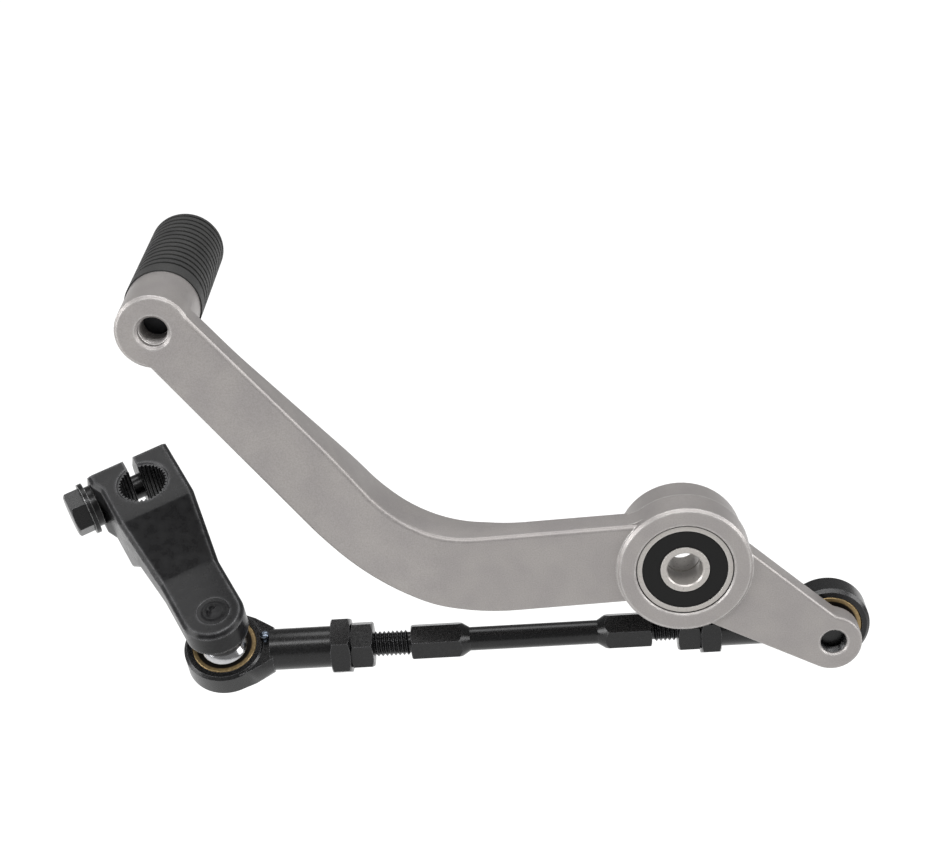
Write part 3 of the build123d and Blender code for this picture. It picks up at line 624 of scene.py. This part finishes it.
def makeGrooveShade(s):
    # A dark ring set into the groove between a bearing's outer ring and its seat, as painted shade.
    middle, half = s["radiusMm"], s["widthMm"] / 2
    top = -s["sunkMm"]
    low = top - s["depthMm"]
    section = [
        (middle - half, low), (middle + half, low), (middle + half, top), (middle, top - s["hollowMm"]),
        (middle - half, top),
    ]
    for side, along in (("front", -yAxis), ("rear", yAxis)):
        face = max(abs(corner[1]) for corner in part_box(side + "_outer_ring"))
        piece = spinSection(section, s["steps"])
        placeOnAxis(piece, along * face, along, xAxis)
        finishPiece(
            piece, side + "BearingGroove", side + "_bearing_seals", metals["sealRubber"], s["smoothAngle"]
        )


makeGrooveShade(grooveShadeSettings)


greaseDome = {
    "section": [
        (0, 0.42), (0.4, 0.38), (0.75, 0.25), (1.0, 0.08), (1.12, -0.1), (1.12, -0.4), (0, -0.4),
    ],
    "reachMm": 1.6, "steps": 32, "smoothAngle": 60,
}
# Out of the face of each rod end that has its grease hole.
housingAxes = {
    "front": (armAxis - linkAxis * armAxis.dot(linkAxis)).normalized(),
    "rear": -yAxis,
}


def makeGreaseDomes(s):
    # The ball that closes each grease hole bulges a little out of the housing.
    for side, axis in housingAxes.items():
        low, high = (Vector(corner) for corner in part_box(side + "_grease_plug"))
        centre = (low + high) / 2
        near = [
            (vertex.co - centre).dot(axis) for vertex in frame["nodes"][side + "_rod_end"].data.vertices
            if (vertex.co - centre).cross(axis).length < s["reachMm"] * mm
        ]
        piece = spinSection(s["section"], s["steps"])
        placeOnAxis(piece, centre + axis * max(near), axis, linkAxis)
        finishPiece(
            piece, side + "GreaseDome", side + "_grease_plug", metals["greaseBall"], s["smoothAngle"]
        )


makeGreaseDomes(greaseDome)


# The arm's top line passes armTopMm over the pivot's axis and falls towards the peg.
hubFillet = {
    "hubMm": 15.2, "armTopMm": 11.5, "armTopFallMm": 5.8, "armTopRunMm": 61.2, "radiusMm": 10.0,
    "steps": 16, "frontMm": -5.3, "rearMm": 0.3, "rootedMm": 1.2, "sunkMm": 0.05, "smoothAngle": 35,
}


def makeHubFillet(s):
    # The casting's hollow curve between the arm's top face and the hub, drawn in (x, z) and in mm.
    rise = math.atan(s["armTopFallMm"] / s["armTopRunMm"])
    lineUp = Vector((-math.sin(rise), math.cos(rise)))
    lineOut = Vector((-math.cos(rise), -math.sin(rise)))
    high = s["armTopMm"] * math.cos(rise) + s["radiusMm"]
    reach = math.sqrt((s["hubMm"] + s["radiusMm"]) ** 2 - high ** 2)
    centre = lineUp * high + lineOut * reach
    onArm = centre - lineUp * s["radiusMm"]
    onHub = centre.normalized() * s["hubMm"]
    start, end = (math.atan2((p - centre).y, (p - centre).x) for p in (onArm, onHub))
    sunk = ((onArm + onHub) / 2 - centre).normalized() * s["sunkMm"]
    corners = []
    for i in range(s["steps"] + 1):
        turn = start + (end - start) * i / s["steps"]
        corners.append(centre + sunk + Vector((math.cos(turn), math.sin(turn))) * s["radiusMm"])
    corners += [onHub * (1 - s["rootedMm"] / s["hubMm"]), onArm - lineUp * s["rootedMm"]]
    piece = addRing(len(corners), mm, fill="NGON")
    for vertex, corner in zip(piece.data.vertices, corners):
        vertex.co = (corner.x * mm, s["frontMm"] * mm, corner.y * mm)
    editAll()
    bpy.ops.mesh.extrude_region_move(
        TRANSFORM_OT_translate={"value": (0, (s["rearMm"] - s["frontMm"]) * mm, 0)}
    )
    closeEdit()
    finishPiece(piece, "hubFillet", "lever_casting", castMetal, s["smoothAngle"])


makeHubFillet(hubFillet)
print("clamp, stake and grooves ready")


floorSettings = {
    "size": 6.0, "height": -0.16, "colour": "#F4F4F2", "rough": 0.9, "shadowShare": 0.12, "white": 1.15,
}


def makeFloor(s):
    # Seen directly or in a reflection the floor is white with a faint shadow, and else it is plain matt.
    deselectAll()
    bpy.ops.mesh.primitive_plane_add(size=s["size"], location=(0, 0, s["height"]))
    floor = bpy.context.object
    floor.name = "paleFloor"
    bpy.ops.object.transform_apply(location=True, rotation=True, scale=True)
    material, tree, shader, _ = newMaterial("paleStudioFloor")
    output = tree.nodes["Material Output"]
    shader.inputs["Base Color"].default_value = toLinear(s["colour"])
    shader.inputs["Roughness"].default_value = s["rough"]
    path = addNode(tree, "ShaderNodeLightPath")
    seen = path.outputs["Is Camera Ray"]
    for ray in ("Is Glossy Ray", "Is Transmission Ray"):
        seen = addNode(
            tree, "ShaderNodeMath", links={0: seen, 1: path.outputs[ray]}, operation="MAXIMUM"
        ).outputs[0]
    share = addNode(
        tree, "ShaderNodeMath", {1: 1 - s["shadowShare"]}, {0: seen}, operation="MULTIPLY"
    ).outputs[0]
    white = addNode(tree, "ShaderNodeEmission", {"Color": (1, 1, 1, 1), "Strength": s["white"]})
    mix = addNode(
        tree, "ShaderNodeMixShader",
        links={0: share, 1: shader.outputs["BSDF"], 2: white.outputs["Emission"]},
    )
    tree.links.new(mix.outputs["Shader"], output.inputs["Surface"])
    floor.data.materials.append(material)


lampSettings = {
    "overhead": {"at": (-0.12, 0.34, 0.78), "size": (0.8, 0.35), "power": 3.2},
    "frontStrip": {"at": (0.05, -0.40, 0.85), "size": (1.5, 0.2), "power": 7.5},
    "left": {"at": (-0.80, -0.26, 0.22), "size": (0.45, 0.45), "power": 5.0},
    "right": {"at": (0.85, -0.22, 0.34), "size": (0.5, 0.5), "power": 5.5},
}
lampTarget = (-0.03, 0, 0)
worldSettings = {"grey": 0.29, "seen": 1.0}


def makeWorld(s):
    world = bpy.data.worlds.new("studioWorld")
    bpy.context.scene.world = world
    world.use_nodes = True
    tree = world.node_tree
    tree.nodes.clear()
    output = addNode(tree, "ShaderNodeOutputWorld")
    path = addNode(tree, "ShaderNodeLightPath")
    level = addNode(
        tree, "ShaderNodeMapRange", {"To Min": s["grey"], "To Max": s["seen"]},
        {"Value": path.outputs["Is Camera Ray"]},
    ).outputs["Result"]
    sky = addNode(tree, "ShaderNodeBackground", {"Color": (1, 1, 1, 1)}, {"Strength": level})
    tree.links.new(sky.outputs["Background"], output.inputs["Surface"])


def makeLamps():
    for name, s in lampSettings.items():
        lamp = bpy.data.lights.new(name, "AREA")
        lamp.shape = "RECTANGLE"
        lamp.size, lamp.size_y = s["size"]
        lamp.energy = s["power"]
        holder = bpy.data.objects.new(name, lamp)
        bpy.context.scene.collection.objects.link(holder)
        holder.location = s["at"]
        aim = Vector(lampTarget) - holder.location
        holder.rotation_euler = aim.to_track_quat("-Z", "Y").to_euler()


cameraSettings = {
    "at": (-0.04547, -0.40709, 0.21114), "azimuth": 0.344, "elevation": 23.99, "lens": 77.16,
    "sensor": 36.0, "near": 0.01, "far": 20,
}


def makeCamera(s):
    data = bpy.data.cameras.new("photoCamera")
    data.sensor_width = s["sensor"]
    data.lens = s["lens"]
    data.clip_start = s["near"]
    data.clip_end = s["far"]
    camera = bpy.data.objects.new("photoCamera", data)
    bpy.context.scene.collection.objects.link(camera)
    camera.location = s["at"]
    camera.rotation_euler = (math.radians(90 - s["elevation"]), 0, math.radians(s["azimuth"]))
    bpy.context.scene.camera = camera


makeFloor(floorSettings)
makeWorld(worldSettings)
makeLamps()
makeCamera(cameraSettings)
bpy.context.scene.view_settings.view_transform = "Standard"
print("studio ready")
